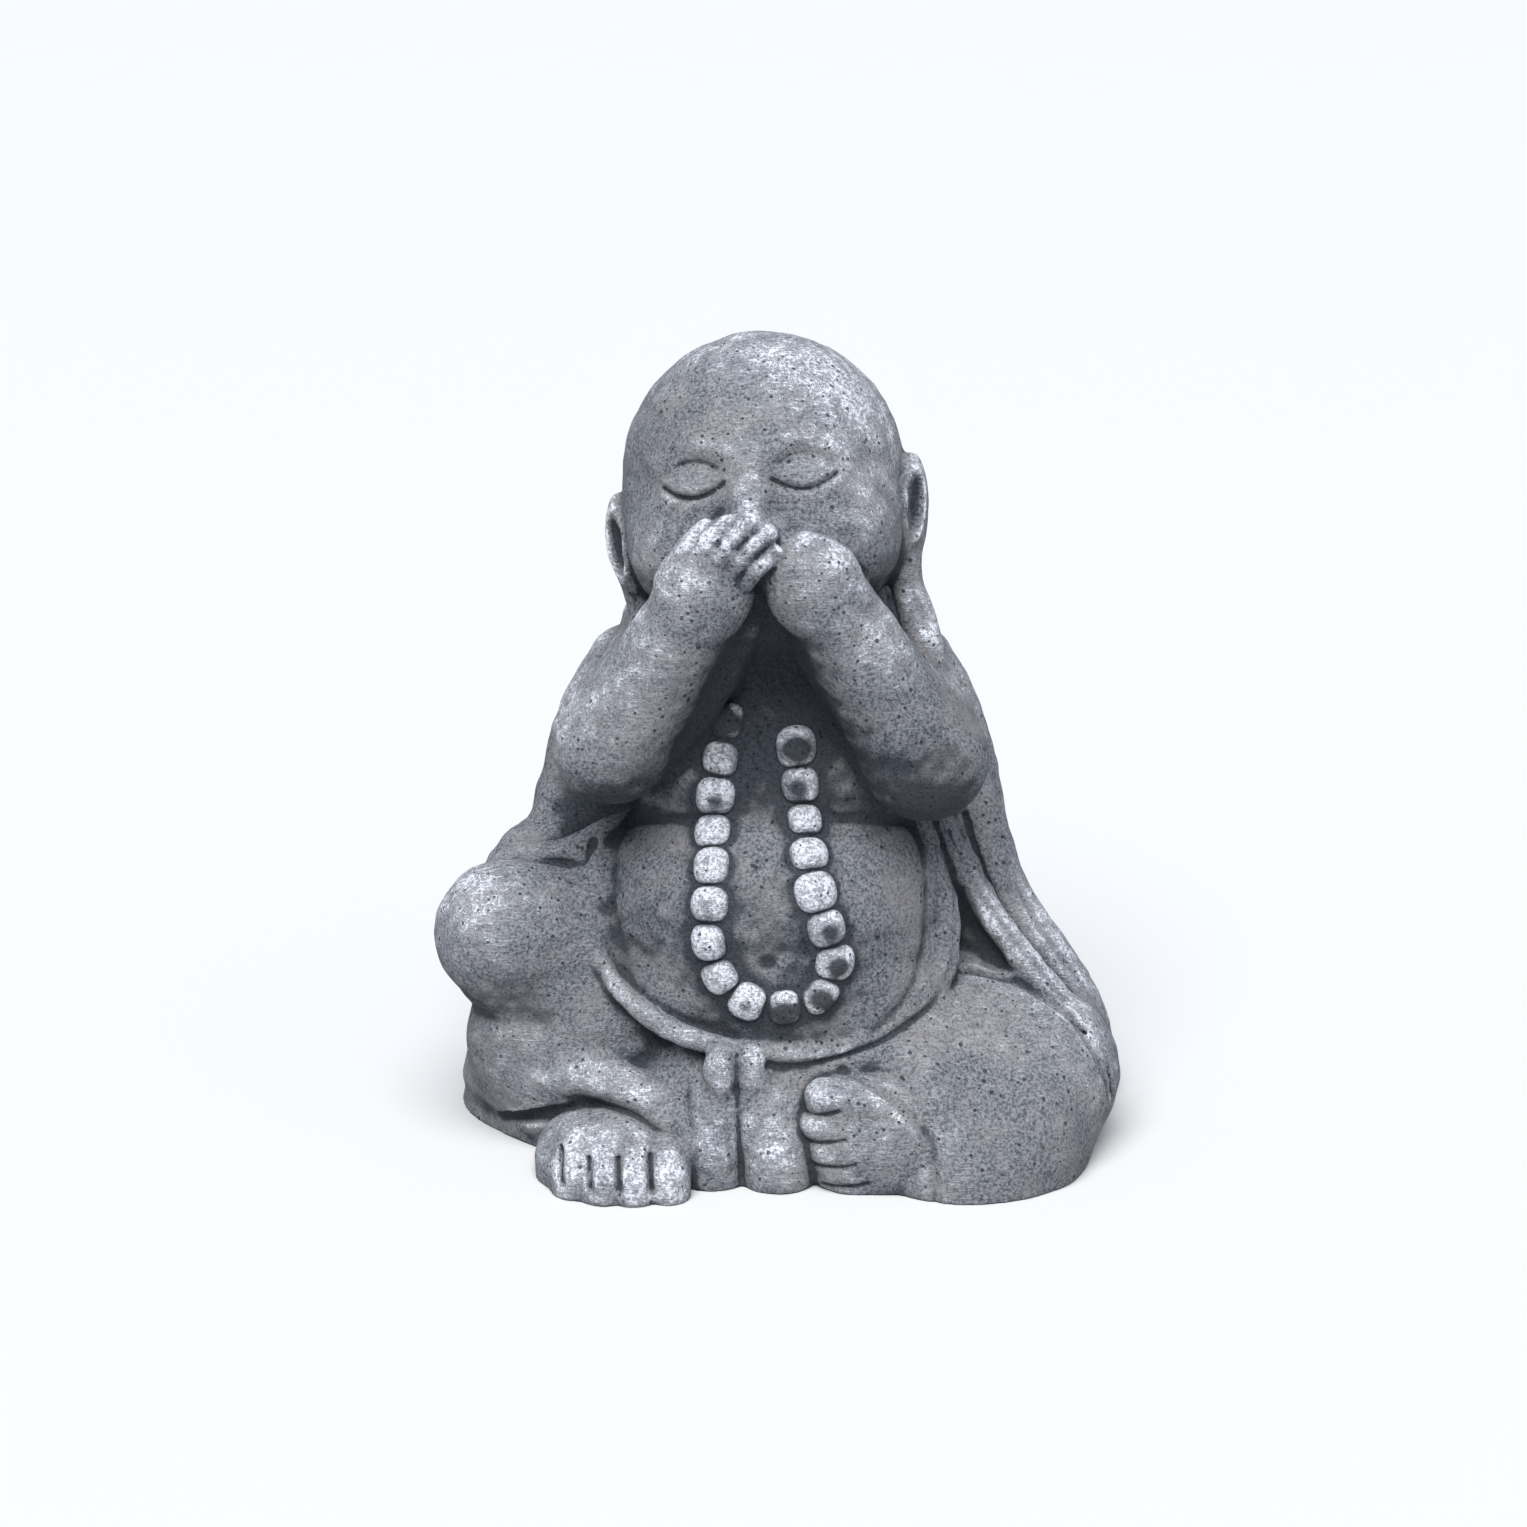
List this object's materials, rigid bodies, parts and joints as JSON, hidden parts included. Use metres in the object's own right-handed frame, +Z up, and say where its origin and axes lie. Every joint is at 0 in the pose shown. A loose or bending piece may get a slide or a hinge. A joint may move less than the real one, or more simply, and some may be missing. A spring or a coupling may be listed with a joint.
{
  "type": "laughing buddha statue",
  "caption": "Seated bald buddha figure in grey cast stone, both hands over its mouth, robe open on a round belly, bead string, tied belt, one knee up.",
  "frame": {"origin": "middle of the figure's overall footprint, on the ground it stands on", "axes": "+Z up; the figure faces -Y; +X is to the right of someone who faces it, the figure's own left"},
  "size_m": [0.346, 0.2657, 0.4002],
  "materials": {
    "cast_stone": "dull, sandy, worn pale on the raised places and dark in the hollows"
  },
  "bodies": {
    "root": {"laughing_buddha": "cast_stone"}
  },
  "joints": []
}
